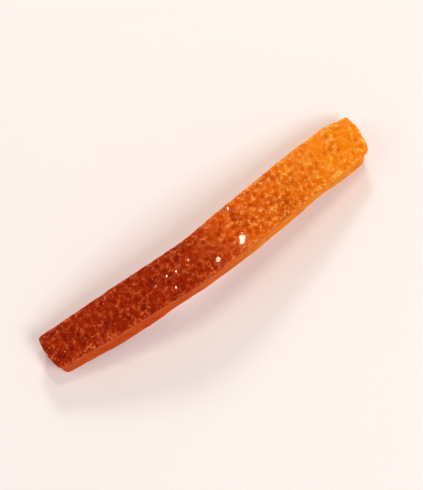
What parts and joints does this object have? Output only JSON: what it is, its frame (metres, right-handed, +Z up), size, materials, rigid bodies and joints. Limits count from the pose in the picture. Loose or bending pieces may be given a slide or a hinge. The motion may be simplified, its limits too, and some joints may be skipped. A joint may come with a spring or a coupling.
{
  "type": "candied orange peel strip",
  "caption": "Arched strip of candied orange peel with a pitted glossy rind, knife-cut sides and soft amber pith, lying rind up on its two ends.",
  "frame": {"origin": "on the plane that the strip rests on, under the middle of its bounding box", "axes": "+X along the strip, towards the end that is cut at a slant; +Y across it; +Z up, out of the rind"},
  "size_m": [0.0606, 0.0106, 0.0091],
  "materials": {
    "candied_peel": "glossy, slightly sticky syrup glaze over deep orange pitted rind, with translucent amber pith on the cut sides and beneath"
  },
  "bodies": {
    "root": {"candied_orange_peel": "candied_peel"}
  },
  "joints": []
}
